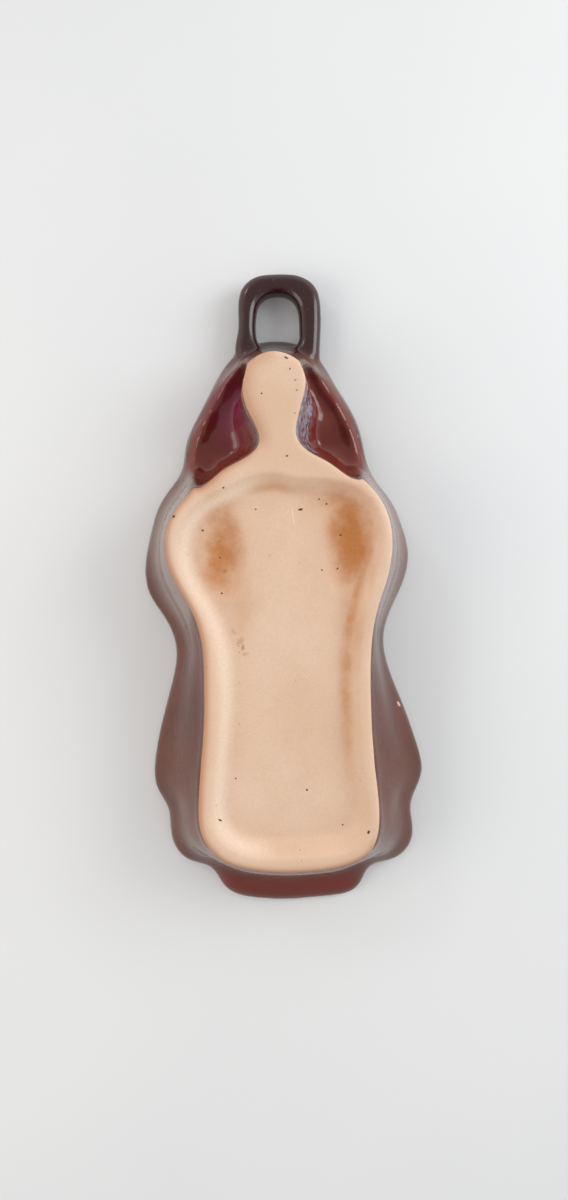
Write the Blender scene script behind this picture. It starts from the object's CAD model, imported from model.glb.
"""A glazed earthenware figure mould, lying foot up on a pale table, under soft window light.

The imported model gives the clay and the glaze. Here the clay is remeshed and softened the way a worn
casting is, and gets its toasted patches, pinholes and scratches. The coat of glaze is laid over it
again as a thin skin, which thins out to nothing where it meets the bare foot.
"""

import math

import bpy
import numpy as np
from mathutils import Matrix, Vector, noise


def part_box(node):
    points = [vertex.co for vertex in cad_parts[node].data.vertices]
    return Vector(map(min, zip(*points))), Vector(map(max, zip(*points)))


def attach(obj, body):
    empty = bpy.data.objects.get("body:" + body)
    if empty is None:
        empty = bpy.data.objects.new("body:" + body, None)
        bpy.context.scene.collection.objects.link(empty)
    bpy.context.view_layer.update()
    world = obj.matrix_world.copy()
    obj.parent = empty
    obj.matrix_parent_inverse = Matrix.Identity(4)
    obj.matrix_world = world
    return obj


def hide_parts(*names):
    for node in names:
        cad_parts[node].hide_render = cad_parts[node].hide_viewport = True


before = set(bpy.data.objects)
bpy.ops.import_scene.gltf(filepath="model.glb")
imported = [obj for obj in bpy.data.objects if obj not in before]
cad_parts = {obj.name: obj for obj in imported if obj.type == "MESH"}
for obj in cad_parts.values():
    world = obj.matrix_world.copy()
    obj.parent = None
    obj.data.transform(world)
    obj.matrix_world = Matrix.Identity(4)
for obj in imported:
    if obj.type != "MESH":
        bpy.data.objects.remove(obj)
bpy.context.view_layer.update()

MM = 0.001
VOXEL = 0.95 * MM
FOOT_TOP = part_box("clay_body")[1].z
GLAZE_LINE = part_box("outer_glaze")[1].z
RIM_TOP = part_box("rim_glaze")[1].z
RECESS_RUN = 6.5 * MM  # how far the recess's sides run in
POCKET_LEVEL = 10.5 * MM  # a height where both pockets are closed, below the hood's ridge
POCKET_FLOOR = 7 * MM  # a height below the pockets' floors and above the hollow under them
BARE_LEVEL = 29.5 * MM  # a height above which all bare clay lies
CROWN = 0.9 * MM  # how much the recess's floor rises to its middle
FINGER_MARKS = 1.1 * MM  # height of the lumps in the pockets' floors
COAT = 0.5 * MM  # thickness of the glaze
TUCK = 0.15 * MM  # how far the coat's edge dips into the clay
SHRINK = 0.35 * MM  # how far the loop's clay draws in, to stay under its glaze
# Toasted patches of the recess: middle, half width and half length in mm, and strength
TOASTED = [
    (-24.0, 17.0, 10.5, 22.0, 0.80),
    (-17.0, -8.0, 8.0, 20.0, 0.30),
    (28.5, 20.0, 9.5, 20.0, 1.00),
    (24.0, 36.0, 12.0, 8.0, 0.55),
    (28.0, -12.0, 6.0, 26.0, 0.45),
    (2.0, -101.0, 30.0, 7.0, 0.20),
]


# ---------------------------------------------------------------- meshes as arrays

def smoothstep(low, high, x):
    t = np.clip((x - low) / (high - low), 0.0, 1.0)
    return t * t * (3.0 - 2.0 * t)


def bump(distance, width):
    """1 where the distance is 0, falling softly to 0 over about the width."""
    return np.exp(-(distance / width) ** 2)


def points_of(mesh):
    points = np.empty(len(mesh.vertices) * 3)
    mesh.vertices.foreach_get("co", points)
    return points.reshape(-1, 3)


def remeshed(nodes, name):
    """A closed, evenly divided mesh of the CAD nodes together, as (points, quads)."""
    points, faces, first = [], [], 0
    for node in nodes:
        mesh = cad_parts[node].data
        points.append(points_of(mesh))
        faces += [[first + index for index in face.vertices] for face in mesh.polygons]
        first += len(mesh.vertices)
    mesh = bpy.data.meshes.new(name)
    mesh.from_pydata(np.concatenate(points).tolist(), [], faces)
    made = bpy.data.objects.new(name, mesh)
    bpy.context.scene.collection.objects.link(made)
    modifier = made.modifiers.new("voxels", "REMESH")
    modifier.mode = "VOXEL"
    modifier.voxel_size = VOXEL
    graph = bpy.context.evaluated_depsgraph_get()
    result = bpy.data.meshes.new_from_object(made.evaluated_get(graph))
    points = points_of(result)
    quads = np.array([tuple(face.vertices) for face in result.polygons if len(face.vertices) == 4])
    bpy.data.objects.remove(made)
    bpy.data.meshes.remove(mesh)
    bpy.data.meshes.remove(result)
    return biggest(points, quads)


def biggest(points, quads):
    """The largest connected piece of a mesh."""
    label = np.arange(len(points))
    while True:
        lowest = label[quads].min(axis=1)
        before = label.copy()
        for corner in range(4):
            np.minimum.at(label, quads[:, corner], lowest)
        label = label[label]
        if np.array_equal(before, label):
            break
    values, counts = np.unique(label, return_counts=True)
    keep = label == values[counts.argmax()]
    index = np.cumsum(keep) - 1
    return points[keep], index[quads[keep[quads[:, 0]]]]


def edges_of(quads):
    """Each edge once, as pairs of point numbers."""
    pairs = np.concatenate([quads[:, [0, 1]], quads[:, [1, 2]], quads[:, [2, 3]], quads[:, [3, 0]]])
    return np.unique(np.sort(pairs, axis=1), axis=0)


def spread(values, edges, rounds, share=0.5):
    """The values, each moved towards its neighbours' mean, that many times."""
    count = np.bincount(edges.ravel(), minlength=len(values)).astype(float)
    values = values.copy()
    flat = values.ndim == 1
    if flat:
        values = values[:, None]
    for _ in range(rounds):
        total = np.zeros_like(values)
        for axis in range(values.shape[1]):
            total[:, axis] = (
                np.bincount(edges[:, 0], values[edges[:, 1], axis], len(values))
                + np.bincount(edges[:, 1], values[edges[:, 0], axis], len(values))
            )
        values += share * (total / count[:, None] - values)
    return values[:, 0] if flat else values


def rounded(points, edges, rounds):
    """The points with their corners softened and their size kept."""
    for _ in range(rounds):
        points = spread(points, edges, 1, 0.52)
        points = spread(points, edges, 1, -0.46)
    return points


def normals_of(points, quads):
    across = points[quads[:, 2]] - points[quads[:, 0]]
    along = points[quads[:, 3]] - points[quads[:, 1]]
    face_normals = np.cross(across, along)
    normals = np.zeros_like(points)
    for corner in range(4):
        np.add.at(normals, quads[:, corner], face_normals)
    return normals / np.maximum(np.linalg.norm(normals, axis=1)[:, None], 1e-12)


# ---------------------------------------------------------------- outlines read from the frame

def outlines_at(node, height):
    """The closed outlines where the CAD node crosses the height, longest first, as arrays of x and y."""
    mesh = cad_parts[node].data
    mesh.calc_loop_triangles()
    points = points_of(mesh)
    weld = {}
    same = np.array([weld.setdefault(tuple(np.round(p, 7)), len(weld)) for p in points])
    place = {}
    links = {}
    for triangle in mesh.loop_triangles:
        cuts = []
        for a, b in ((0, 1), (1, 2), (2, 0)):
            start, end = triangle.vertices[a], triangle.vertices[b]
            low, high = points[start][2] - height, points[end][2] - height
            if (low < 0) != (high < 0):
                key = tuple(sorted((same[start], same[end])))
                place[key] = points[start][:2] + (points[end][:2] - points[start][:2]) * low / (low - high)
                cuts.append(key)
        if len(cuts) == 2:
            links.setdefault(cuts[0], []).append(cuts[1])
            links.setdefault(cuts[1], []).append(cuts[0])
    loops = []
    unused = set(links)
    while unused:
        key = min(unused)
        loop = []
        while key is not None:
            unused.discard(key)
            loop.append(place[key])
            key = next((other for other in links[key] if other in unused), None)
        loops.append(np.array(loop))
    return sorted(loops, key=lambda loop: -np.ptp(loop[:, 1]))


def depth_inside(outline, points):
    """How far each point lies inside the closed outline, seen from above; negative outside it."""
    outline = outline[:: max(1, len(outline) // 360)]
    ahead = np.roll(outline, -1, axis=0)
    result = np.empty(len(points))
    for first in range(0, len(points), 4000):
        xy = points[first:first + 4000, None, :2]
        run = ahead - outline
        share = ((xy - outline) * run).sum(-1) / np.maximum((run ** 2).sum(-1), 1e-18)
        gap = xy - outline - np.clip(share, 0, 1)[..., None] * run
        distance = np.sqrt((gap ** 2).sum(-1)).min(1)
        crossing = (outline[:, 1] > xy[..., 1]) != (ahead[:, 1] > xy[..., 1])
        slope = np.where(run[:, 1] == 0, 1e-12, run[:, 1])
        left = xy[..., 0] < outline[:, 0] + run[:, 0] * (xy[..., 1] - outline[:, 1]) / slope
        inside = (crossing & left).sum(1) % 2 == 1
        result[first:first + 4000] = np.where(inside, distance, -distance)
    return result


# Where the glaze ends, the recess's edge, and the two pockets beside the neck
shelf_outline = outlines_at("clay_body", GLAZE_LINE - 0.05 * MM)[0]
recess_outline = outlines_at("clay_body", FOOT_TOP - 0.6 * MM)[1]
pocket_outlines = [
    loop for loop in outlines_at("clay_body", POCKET_LEVEL)
    if (loop[:, 0].min() > 0 or loop[:, 0].max() < 0) and np.ptp(loop[:, 1]) > 10 * MM
]


def wander(points, size, seed):
    """Smooth noise from -1 to 1 at the points, with lumps of that size."""
    offset = Vector((seed * 7.1, seed * 3.3, seed * 5.7))
    return np.array([noise.noise(Vector(p) / size + offset) for p in points]) * 1.6


# ---------------------------------------------------------------- the casting's form

def in_pockets(points):
    """1 over the pockets beside the neck, seen from above, and 0 elsewhere."""
    within = [smoothstep(-7 * MM, -2 * MM, depth_inside(outline, points)) for outline in pocket_outlines]
    return np.max(within, axis=0)


def settle(points, edges):
    """The remeshed clay softened, most in the pockets and at the loop's feet, its recess crowned."""
    points = rounded(points, edges, 6)
    points = spread(points, edges, 3, 0.45)
    x, y, z = points.T
    off_foot = smoothstep(-0.8 * MM, -3.5 * MM, depth_inside(shelf_outline, points))
    bowls = off_foot * in_pockets(points) * (z > POCKET_FLOOR)
    feet = bump(np.abs(x) - 17.5 * MM, 6 * MM) * bump(y - 100 * MM, 7 * MM) * smoothstep(18 * MM, 12 * MM, z)
    for mask, size in ((bowls, 6.0), (feet, 3.5)):
        rounds = round((size * MM / VOXEL) ** 2)
        points += mask[:, None] * (spread(points, edges, rounds, 0.5) - points)
    lumps = FINGER_MARKS * wander(points, 10 * MM, 11)
    points[:, 2] += bowls * smoothstep(34 * MM, 22 * MM, points[:, 2]) * lumps
    inside = depth_inside(recess_outline, points)
    floor = (points[:, 2] > FOOT_TOP - 12 * MM) & (inside > 0)
    points[:, 2] += np.where(floor, CROWN * smoothstep(4 * MM, 24 * MM, inside), 0.0)
    return points


casting_points, casting_quads = remeshed(["clay_body"], "casting")
casting_points = settle(casting_points, edges_of(casting_quads))

# The same clay with the loop joined on: the form that the glaze lies on
coat_points, coat_quads = remeshed(["clay_body", "hanging_loop"], "coat")
coat_edges = edges_of(coat_quads)
coat_points = settle(coat_points, coat_edges)


def add_piece(name, points, faces, material, replaced, attributes):
    """A smooth-shaded mesh object that rides on the part, with its vertex attributes."""
    mesh = bpy.data.meshes.new(name)
    mesh.from_pydata(points.tolist(), [], faces.tolist())
    mesh.polygons.foreach_set("use_smooth", np.ones(len(mesh.polygons), bool))
    for key, values in attributes.items():
        layer = mesh.attributes.new(key, "FLOAT", "POINT")
        layer.data.foreach_set("value", values.astype(np.float32))
    mesh.update()
    mesh.materials.append(material)
    piece = bpy.data.objects.new(name, mesh)
    bpy.context.scene.collection.objects.link(piece)
    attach(piece, "root")
    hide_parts(*replaced)


# ---------------------------------------------------------------- materials

class Nodes:
    """A short way to build a material's node tree."""

    def __init__(self, name):
        self.material = bpy.data.materials.new(name)
        self.material.use_nodes = True
        self.tree = self.material.node_tree
        self.tree.nodes.clear()
        self.shader = self.add("ShaderNodeBsdfPrincipled")
        output = self.add("ShaderNodeOutputMaterial")
        self.link(self.shader, "BSDF", output, "Surface")
        self.coordinates = self.add("ShaderNodeTexCoord")

    def add(self, kind, **settings):
        node = self.tree.nodes.new(kind)
        for key, value in settings.items():
            setattr(node, key, value)
        return node

    def link(self, source, output, target, socket):
        self.tree.links.new(source.outputs[output], target.inputs[socket])

    def feed(self, node, socket, value):
        """Sets a socket to a value, or links it to another node's result."""
        if isinstance(value, bpy.types.Node):
            result = 2 if value.bl_idname == "ShaderNodeMix" else 0
            self.link(value, result, node, socket)
        else:
            node.inputs[socket].default_value = value

    def noise(self, scale, detail=3.0, roughness=0.55):
        node = self.add("ShaderNodeTexNoise")
        self.link(self.coordinates, "Object", node, "Vector")
        node.inputs["Scale"].default_value = scale
        node.inputs["Detail"].default_value = detail
        node.inputs["Roughness"].default_value = roughness
        return node

    def cells(self, scale):
        """The distance to the nearest of many scattered points."""
        node = self.add("ShaderNodeTexVoronoi", feature="F1")
        self.link(self.coordinates, "Object", node, "Vector")
        node.inputs["Scale"].default_value = scale
        return node

    def ramp(self, value, low, high, start=0.0, end=1.0):
        """A smooth step from start, where the value is low, to end, where it is high."""
        node = self.add("ShaderNodeMapRange", interpolation_type="SMOOTHSTEP")
        self.feed(node, "Value", value)
        node.inputs["From Min"].default_value = low
        node.inputs["From Max"].default_value = high
        node.inputs["To Min"].default_value = start
        node.inputs["To Max"].default_value = end
        return node

    def math(self, operation, first, second=0.0):
        node = self.add("ShaderNodeMath", operation=operation)
        self.feed(node, 0, first)
        self.feed(node, 1, second)
        return node

    def attribute(self, name):
        """The mesh's vertex attribute of that name."""
        node = self.add("ShaderNodeAttribute", attribute_name=name)
        factor = self.add("ShaderNodeMath", operation="ADD")
        self.link(node, "Fac", factor, 0)
        factor.inputs[1].default_value = 0.0
        return factor

    def mix(self, factor, first, second):
        """The first colour, or the second where the factor is 1."""
        node = self.add("ShaderNodeMix", data_type="RGBA")
        self.feed(node, 0, factor)
        for socket, colour in ((6, first), (7, second)):
            self.feed(node, socket, colour if isinstance(colour, bpy.types.Node) else (*colour, 1.0))
        return node

    def mark(self, soft, x, y, length, width, angle=0.0):
        """1 on a small patch of that length and width in mm, turned by the angle in degrees, else 0."""
        local = self.add("ShaderNodeMapping", vector_type="TEXTURE")
        self.link(self.ragged, "Vector", local, "Vector")
        local.inputs["Location"].default_value = (x * MM, y * MM, 0.0)
        local.inputs["Rotation"].default_value = (0.0, 0.0, math.radians(angle))
        local.inputs["Scale"].default_value = (length / 2 * MM, width / 2 * MM, 1.0)
        radius = self.add("ShaderNodeVectorMath", operation="LENGTH")
        self.link(local, "Vector", radius, "Vector")
        patch = self.add("ShaderNodeMapRange", interpolation_type="SMOOTHSTEP")
        self.link(radius, "Value", patch, "Value")
        patch.inputs["From Min"].default_value = 1.0
        patch.inputs["From Max"].default_value = 1.0 - soft
        return patch

    def marks(self, rows, soft):
        """The marks of all the rows together; soft is the share of each that is its blurred edge."""
        total = None
        for row in rows:
            patch = self.mark(soft, *row)
            total = self.math("MAXIMUM", total, patch) if total else patch
        return total

    def add_ragged(self, size, reach):
        """Coordinates shifted about by noise, so that marks have uneven edges."""
        shake = self.noise(1.0 / size, 2.0)
        centred = self.add("ShaderNodeVectorMath", operation="SUBTRACT")
        self.link(shake, "Color", centred, 0)
        centred.inputs[1].default_value = (0.5, 0.5, 0.5)
        scaled = self.add("ShaderNodeVectorMath", operation="SCALE")
        self.link(centred, "Vector", scaled, 0)
        scaled.inputs["Scale"].default_value = reach
        self.ragged = self.add("ShaderNodeVectorMath", operation="ADD")
        self.link(self.coordinates, "Object", self.ragged, 0)
        self.link(scaled, "Vector", self.ragged, 1)

    def bump(self, height, strength, distance):
        """Roughens the shader's surface by the height."""
        node = self.add("ShaderNodeBump")
        node.inputs["Strength"].default_value = strength
        node.inputs["Distance"].default_value = distance
        self.feed(node, "Height", height)
        self.link(node, "Normal", self.shader, "Normal")


def linear(*screen):
    """A colour given by its 0 to 255 screen values, as light."""
    shares = [value / 255 for value in screen]
    return tuple(share / 12.92 if share <= 0.04045 else ((share + 0.055) / 1.055) ** 2.4 for share in shares)


# Pinholes in the bare clay: x, y, length and width in mm, and the angle in degrees
PINHOLES = [
    (-42.0, 30.0, 1.5, 1.2), (-31.0, 24.5, 1.1, 0.9), (-9.5, 32.5, 0.9, 0.7), (8.5, 32.0, 2.3, 1.2, 10.0),
    (16.0, 36.0, 0.9, 0.7), (19.0, 34.0, 0.8, 0.8), (-24.5, 13.5, 1.0, 0.8), (16.5, 7.5, 0.9, 0.7),
    (23.0, 8.0, 1.4, 0.7, 40.0), (24.5, 21.5, 1.1, 0.9), (-24.0, -1.0, 0.9, 0.9), (-22.0, 41.0, 1.1, 0.8),
    (-26.5, -91.5, 2.0, 0.8, -35.0), (-20.0, -75.5, 0.8, 0.8), (8.5, -80.5, 1.1, 0.9),
    (32.5, -97.0, 1.9, 1.2, 60.0), (22.5, -95.0, 0.9, 0.8), (4.0, 92.0, 2.0, 0.9, -30.0),
    (5.5, 87.5, 1.1, 0.6, 70.0), (7.5, 83.0, 1.3, 0.4, 20.0), (8.0, 79.0, 0.9, 0.5),
    (-6.0, 78.0, 0.9, 0.8), (3.5, 53.0, 1.4, 0.7, 15.0), (7.0, 70.0, 0.7, 0.6),
]
# Scratches with a raised pale lip, in the same order of values
SCRATCHES = [
    (5.3, 29.5, 10.0, 0.9, -84.0), (2.7, 30.5, 6.0, 0.5, 52.0), (9.0, -35.0, 6.5, 0.45, -44.0),
    (4.5, -34.5, 5.0, 0.35, 62.0), (-15.0, -58.0, 5.0, 0.3, 20.0),
]
# Brown blots where something soaked in, in the same order of values
STAINS = [
    (-17.0, -20.5, 5.5, 3.4, 60.0), (-14.8, -25.5, 4.0, 2.6, 20.0), (-19.5, -16.5, 3.6, 2.0, -50.0),
    (-16.0, -23.0, 4.5, 2.2, 80.0), (-22.5, 8.0, 3.0, 2.2, 30.0), (-24.5, 20.0, 2.2, 1.3, 60.0),
]


# The chip in the glaze of the right wall, in the same order of values
CHIP = (49.5, -50.5, 3.2, 1.3, -62.0)
CRISP, SOFT = 0.35, 0.95  # shares of a mark that are its blurred edge


def clay_material():
    """Fired clay: pale peach, toasted orange in places, with iron specks and a fine tooth."""
    nodes = Nodes("fired_clay")
    nodes.add_ragged(0.9 * MM, 0.5 * MM)
    cloud = nodes.ramp(nodes.noise(22.0, 4.0), 0.3, 0.7)
    base = nodes.mix(cloud, linear(226, 195, 170), linear(217, 183, 155))
    mottling = nodes.ramp(nodes.noise(110.0, 5.0, 0.65), 0.25, 0.75, 0.72, 1.25)
    patchy = nodes.math("MULTIPLY", nodes.attribute("toast"), mottling)
    warm = nodes.mix(nodes.ramp(patchy, 0.0, 1.0), base, linear(186, 118, 60))
    blush = nodes.mix(nodes.attribute("blush"), warm, linear(184, 126, 90))
    pale = nodes.mix(nodes.attribute("pale"), blush, linear(240, 216, 194))
    grit = nodes.ramp(nodes.noise(1100.0, 2.0), 0.35, 0.65, 0.0, 0.16)
    grain = nodes.mix(grit, pale, linear(196, 156, 122))
    specks = nodes.ramp(nodes.cells(300.0), 0.05, 0.10, 1.0, 0.0)
    chance = nodes.ramp(nodes.noise(90.0, 1.0), 0.61, 0.66, 0.0, 0.7)
    dotted = nodes.mix(nodes.math("MULTIPLY", specks, chance), grain, linear(128, 94, 68))
    soaked = nodes.ramp(nodes.noise(500.0, 4.0), 0.3, 0.65, 0.2, 0.8)
    blots = nodes.math("MULTIPLY", nodes.marks(STAINS, SOFT), soaked)
    stained = nodes.mix(blots, dotted, linear(166, 108, 50))
    lips = nodes.marks(SCRATCHES, CRISP)
    scratched = nodes.mix(nodes.math("MULTIPLY", lips, 0.7), stained, linear(236, 208, 180))
    pits = nodes.math("MULTIPLY", nodes.marks(PINHOLES, CRISP), nodes.attribute("bare"))
    pitted = nodes.mix(pits, scratched, linear(84, 52, 34))
    nodes.feed(nodes.shader, "Base Color", pitted)
    nodes.shader.inputs["Roughness"].default_value = 0.78
    nodes.shader.inputs["Specular IOR Level"].default_value = 0.3
    tooth = nodes.math("ADD", nodes.noise(1400.0, 3.0), nodes.noise(240.0, 3.0))
    raised = nodes.math("ADD", tooth, nodes.math("MULTIPLY", lips, 4.0))
    nodes.bump(nodes.math("SUBTRACT", raised, nodes.math("MULTIPLY", pits, 4.0)), 0.35, 0.00016)
    return nodes.material


def glaze_material():
    """Glossy iron glaze: dark where it is thick, purple in a pool, warmer where it is thin on edges."""
    nodes = Nodes("brown_glaze")
    nodes.add_ragged(0.9 * MM, 0.6 * MM)
    cloud = nodes.ramp(nodes.noise(35.0, 3.0), 0.3, 0.7)
    brown = nodes.mix(cloud, linear(96, 45, 24), linear(80, 35, 17))
    hazy = nodes.mix(nodes.math("MULTIPLY", nodes.attribute("haze"), 0.5), brown, linear(176, 164, 158))
    rich = nodes.mix(nodes.attribute("red"), hazy, linear(112, 36, 20))
    deep = nodes.mix(nodes.attribute("dark"), rich, linear(50, 22, 22))
    pool = nodes.mix(nodes.attribute("pool"), deep, linear(112, 24, 62))
    thin = nodes.mix(nodes.attribute("thin"), pool, linear(124, 72, 50))
    fleck = nodes.ramp(nodes.noise(700.0, 2.0), 0.60, 0.72, 0.0, 0.35)
    milky = nodes.math("MULTIPLY", nodes.attribute("milky"), nodes.ramp(nodes.noise(420.0, 4.0), 0.35, 0.65))
    flecked = nodes.mix(fleck, thin, linear(112, 50, 34))
    misted = nodes.mix(milky, flecked, linear(165, 182, 204))
    chipped = nodes.mix(nodes.mark(CRISP, *CHIP), misted, linear(214, 164, 134))
    nodes.feed(nodes.shader, "Base Color", chipped)
    nodes.shader.inputs["Roughness"].default_value = 0.17
    nodes.shader.inputs["IOR"].default_value = 1.52
    fine = nodes.ramp(nodes.noise(420.0, 2.0), 0.0, 1.0, 0.0, 0.12)
    nodes.bump(nodes.math("ADD", nodes.noise(60.0, 2.0), fine), 0.25, 0.0012)
    return nodes.material


def table_material():
    """The pale table, with a faint mottling."""
    nodes = Nodes("table")
    cloud = nodes.ramp(nodes.noise(3.0, 3.0), 0.3, 0.7)
    nodes.feed(nodes.shader, "Base Color", nodes.mix(cloud, linear(226, 226, 226), linear(230, 230, 229)))
    nodes.shader.inputs["Roughness"].default_value = 0.6
    nodes.shader.inputs["Specular IOR Level"].default_value = 0.25
    return nodes.material


clay = clay_material()
glaze = glaze_material()

# ---------------------------------------------------------------- the casting

def clay_colours(points):
    """Where the clay is toasted, blushed, pale and bare of glaze, from 0 to 1."""
    inside = depth_inside(recess_outline, points)
    foot = depth_inside(shelf_outline, points)
    x, y = points[:, 0], points[:, 1]
    toast = np.zeros(len(points))
    for middle_x, middle_y, across, along, strength in TOASTED:
        reach = np.hypot((x - middle_x * MM) / (across * MM), (y - middle_y * MM) / (along * MM))
        reach += 0.16 * wander(points, 9 * MM, 5)
        toast = np.maximum(toast, strength * bump(np.maximum(reach, 0.0), 1.0))
    slope = bump(inside - 0.75 * RECESS_RUN, 3.2 * MM)
    right = smoothstep(5 * MM, 25 * MM, x)
    toast = np.maximum(toast, 0.6 * slope * right * smoothstep(-108 * MM, -40 * MM, y))
    toast = np.maximum(toast, 0.45 * slope * smoothstep(35 * MM, 42 * MM, y))
    left = smoothstep(0.0, -20 * MM, x)
    low = smoothstep(-95 * MM, -108 * MM, y)
    head = smoothstep(52 * MM, 62 * MM, y) * smoothstep(2 * MM, -4 * MM, x)
    on_edge = 0.95 * bump(foot, 2.0 * MM) * np.maximum(left, low)
    blush = np.maximum(on_edge, 0.55 * bump(foot, 4.5 * MM) * head)
    pale = 0.75 * bump(inside - 2.5 * MM, 2.6 * MM) * left
    bare = smoothstep(BARE_LEVEL - 0.5 * MM, BARE_LEVEL + 0.5 * MM, points[:, 2])
    return {"toast": toast, "blush": blush, "pale": pale, "bare": bare}


colours = clay_colours(casting_points)
add_piece("casting", casting_points, casting_quads, clay, ["clay_body"], colours)

loop_points, loop_quads = remeshed(["hanging_loop"], "loop_clay")
loop_points = rounded(loop_points, edges_of(loop_quads), 3)
feet = bump(np.abs(loop_points[:, 0]) - 17 * MM, 6 * MM) * bump(loop_points[:, 1] - 98 * MM, 7 * MM)
shrinks = SHRINK + 1.2 * MM * feet
loop_points -= normals_of(loop_points, loop_quads) * shrinks[:, None]
colours = clay_colours(loop_points)
add_piece("loop_clay", loop_points, loop_quads, clay, ["hanging_loop"], colours)

# ---------------------------------------------------------------- the glaze

coat_normals = normals_of(coat_points, coat_quads)
coat_foot = depth_inside(shelf_outline, coat_points)
upper = coat_points[:, 2] > FOOT_TOP - 10 * MM
edge = np.where(upper, coat_foot + 0.12 * MM * wander(coat_points, 9 * MM, 3), -1.0)
thickness = -TUCK + (COAT + TUCK) * smoothstep(0.25 * MM, -0.9 * MM, edge)
outer_skin = coat_points + coat_normals * thickness[:, None]
inner_skin = coat_points - coat_normals * (1.5 * TUCK)
glazed = (edge[coat_quads] < 0.9 * MM).any(axis=1)

face_normals = np.cross(
    coat_points[coat_quads[:, 2]] - coat_points[coat_quads[:, 0]],
    coat_points[coat_quads[:, 3]] - coat_points[coat_quads[:, 1]],
)
face_normals /= np.maximum(np.linalg.norm(face_normals, axis=1)[:, None], 1e-18)
face_heights = coat_points[coat_quads][:, :, 2].mean(axis=1)
on_rim = (face_heights < RIM_TOP + 0.35 * MM) & (face_normals[:, 2] < -0.75)


def regions():
    """For each glazed face: 0 outside, 1 on the rim's flat, 2 in the hollow underneath."""
    label = np.arange(len(coat_points))
    walls = coat_quads[glazed & ~on_rim]
    while True:
        before = label.copy()
        lowest = label[walls].min(axis=1)
        for corner in range(4):
            np.minimum.at(label, walls[:, corner], lowest)
        label = label[label]
        if np.array_equal(before, label):
            break
    outermost = coat_points[:, 1].argmax()
    outside = label == label[outermost]
    region = np.where(outside[coat_quads].any(axis=1), 0, 2)
    region[on_rim] = 1
    region[~glazed] = -1
    return region


region_of = regions()


def shell(faces):
    """A thin closed skin over those faces of the coat: (points, quads, source point of each)."""
    used = np.unique(faces)
    index = np.full(len(coat_points), -1)
    index[used] = np.arange(len(used))
    top = index[faces]
    under = top[:, ::-1] + len(used)
    directed = np.concatenate([top[:, [0, 1]], top[:, [1, 2]], top[:, [2, 3]], top[:, [3, 0]]])
    keys = directed[:, 0] * (len(used) + 1) + directed[:, 1]
    opposite = directed[:, 1] * (len(used) + 1) + directed[:, 0]
    border = directed[~np.isin(keys, opposite)]
    start, end = border.T
    sides = np.stack([end, start, start + len(used), end + len(used)], axis=1)
    points = np.concatenate([outer_skin[used], inner_skin[used]])
    return points, np.concatenate([top, under, sides]), np.concatenate([used, used])


def glaze_colours(points):
    """Where the coat's glaze pools, runs thin, is milky, dark, hazy or red, from 0 to 1."""
    x, y, z = points.T
    pool = bump(x + 19 * MM, 9 * MM) * bump(y - 77 * MM, 13 * MM) * smoothstep(34 * MM, 26 * MM, z)
    pool *= 0.75 + 0.35 * wander(points, 7 * MM, 8)
    bulge = ((points - spread(points, coat_edges, 12)) * coat_normals).sum(axis=1)
    thin = smoothstep(0.15 * MM, 0.7 * MM, bulge)
    milky = bump(coat_foot + 3 * MM, 3 * MM) * smoothstep(4 * MM, 8 * MM, x)
    milky *= smoothstep(53 * MM, 58 * MM, y) * smoothstep(90 * MM, 82 * MM, y)
    milky *= smoothstep(10 * MM, 20 * MM, z)
    dark = smoothstep(96 * MM, 104 * MM, y)
    sleeves = smoothstep(-24 * MM, -4 * MM, y) * smoothstep(34 * MM, 38 * MM, np.abs(x))
    corners = 0.45 * bump(y + 112 * MM, 9 * MM)
    pockets = in_pockets(points)
    hood = 0.5 * smoothstep(45 * MM, 49 * MM, y) * smoothstep(100 * MM, 90 * MM, y) * (1 - pockets)
    haze = np.maximum(np.maximum(sleeves, corners) * smoothstep(-15 * MM, -4 * MM, coat_foot), hood)
    ledge = bump(y + 127 * MM, 6 * MM) * smoothstep(32 * MM, 26 * MM, np.abs(x))
    red = np.maximum(pockets * (z > POCKET_FLOOR), ledge)
    return {
        "pool": np.clip(pool, 0, 1),
        "thin": 0.6 * thin,
        "milky": 0.8 * milky,
        "dark": dark,
        "haze": haze,
        "red": red * (1 - thin),
    }


coat_colours = glaze_colours(coat_points)
for name, region, replaced in (
    ("glaze_outside", 0, ["outer_glaze", "loop_glaze"]),
    ("glaze_rim", 1, ["rim_glaze"]),
    ("glaze_hollow", 2, ["cavity_glaze"]),
):
    points, faces, source = shell(coat_quads[region_of == region])
    values = {key: value[source] for key, value in coat_colours.items()}
    add_piece(name, points, faces, glaze, replaced, values)

# ---------------------------------------------------------------- the table, the light and the camera

def add_table():
    """A flat square under the mould, three metres wide."""
    mesh = bpy.data.meshes.new("table")
    reach = 1.5
    corners = [(-reach, -reach, 0), (reach, -reach, 0), (reach, reach, 0), (-reach, reach, 0)]
    mesh.from_pydata(corners, [], [(0, 1, 2, 3)])
    mesh.materials.append(table_material())
    table = bpy.data.objects.new("table", mesh)
    bpy.context.scene.collection.objects.link(table)


def add_light(name, place, target, size, power, colour):
    """A soft rectangular light at a place, facing the target."""
    data = bpy.data.lights.new(name, "AREA")
    data.shape = "RECTANGLE"
    data.size, data.size_y = size
    data.energy = power
    data.color = colour
    light = bpy.data.objects.new(name, data)
    light.location = place
    light.rotation_euler = (Vector(target) - Vector(place)).to_track_quat("-Z", "Y").to_euler()
    bpy.context.scene.collection.objects.link(light)


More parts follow.
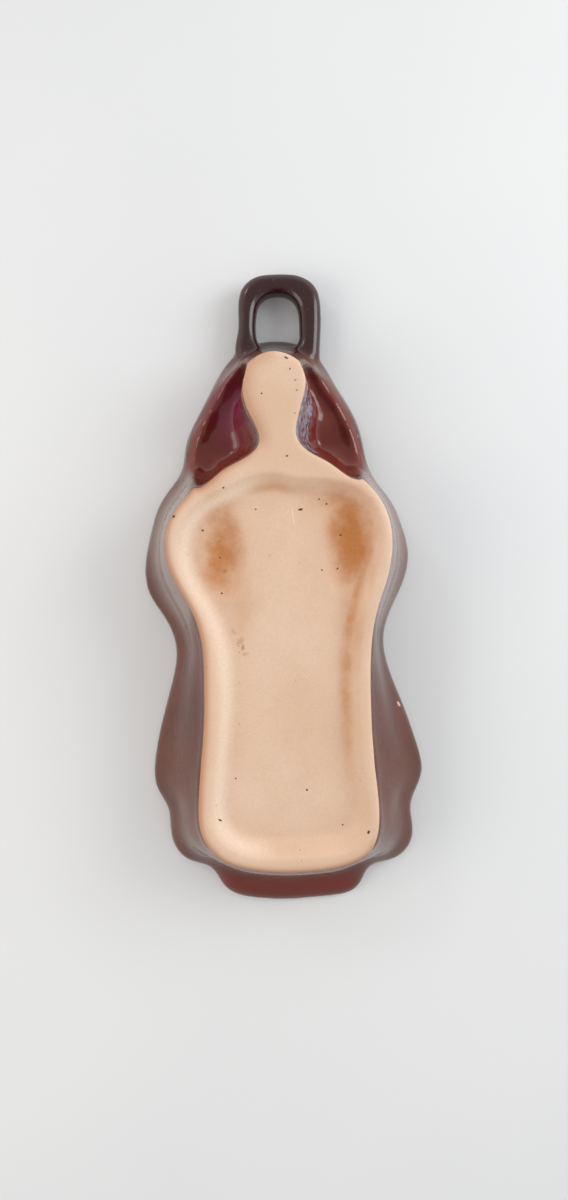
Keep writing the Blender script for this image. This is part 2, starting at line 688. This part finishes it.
def add_world():
    """A room, bright near the horizon and dimmer overhead and where the onlooker stands, at the hem."""
    world = bpy.data.worlds.new("room")
    world.use_nodes = True
    nodes, links = world.node_tree.nodes, world.node_tree.links
    coordinates = nodes.new("ShaderNodeTexCoord")
    direction = nodes.new("ShaderNodeSeparateXYZ")
    links.new(coordinates.outputs["Generated"], direction.inputs["Vector"])
    side = nodes.new("ShaderNodeMapRange")
    links.new(direction.outputs["X"], side.inputs["Value"])
    side.inputs["From Min"].default_value = -1.0
    side.inputs["From Max"].default_value = 1.0
    colour = nodes.new("ShaderNodeMix")
    colour.data_type = "RGBA"
    links.new(side.outputs["Result"], colour.inputs[0])
    colour.inputs[6].default_value = (0.92, 0.89, 0.87, 1.0)
    colour.inputs[7].default_value = (0.92, 0.96, 1.00, 1.0)
    strength = nodes.new("ShaderNodeMath")
    strength.operation = "MULTIPLY"
    overhead = (0, "Z", 0.1, 0.95, 1.40, 0.56)
    onlooker = (1, "Y", -0.9, -0.2, 0.45, 1.0)
    for socket, axis, low, high, start, end in (overhead, onlooker):
        ramp = nodes.new("ShaderNodeMapRange")
        links.new(direction.outputs[axis], ramp.inputs["Value"])
        ramp.inputs["From Min"].default_value = low
        ramp.inputs["From Max"].default_value = high
        ramp.inputs["To Min"].default_value = start
        ramp.inputs["To Max"].default_value = end
        links.new(ramp.outputs["Result"], strength.inputs[socket])
    background = nodes["Background"]
    links.new(colour.outputs[2], background.inputs["Color"])
    links.new(strength.outputs["Value"], background.inputs["Strength"])
    bpy.context.scene.world = world


def add_camera():
    """Straight above the mould, upright with the loop at the top."""
    data = bpy.data.cameras.new("camera")
    data.sensor_width = 36.0
    data.lens = 27.54
    data.shift_y = -0.0108
    camera = bpy.data.objects.new("camera", data)
    camera.location = (1.15 * MM, 1.02 * MM, 404 * MM)
    camera.rotation_euler = (0.0, 0.0, -math.radians(1.3))
    bpy.context.scene.collection.objects.link(camera)
    bpy.context.scene.camera = camera


add_table()
add_world()
add_light("window", (0.62, 0.22, 0.42), (0.0, 0.0, 0.0), (0.4, 0.5), 2.7, (0.95, 0.98, 1.0))
add_light("lamp", (-0.55, 0.65, 0.65), (0.0, 0.0, 0.0), (0.15, 0.15), 0.7, (0.92, 0.96, 1.0))
add_light("fill", (-0.55, -0.05, 0.42), (-0.1, 0.0, 0.0), (0.4, 0.4), 1.25, (1.0, 0.94, 0.88))
add_camera()
bpy.context.scene.view_settings.view_transform = "Standard"
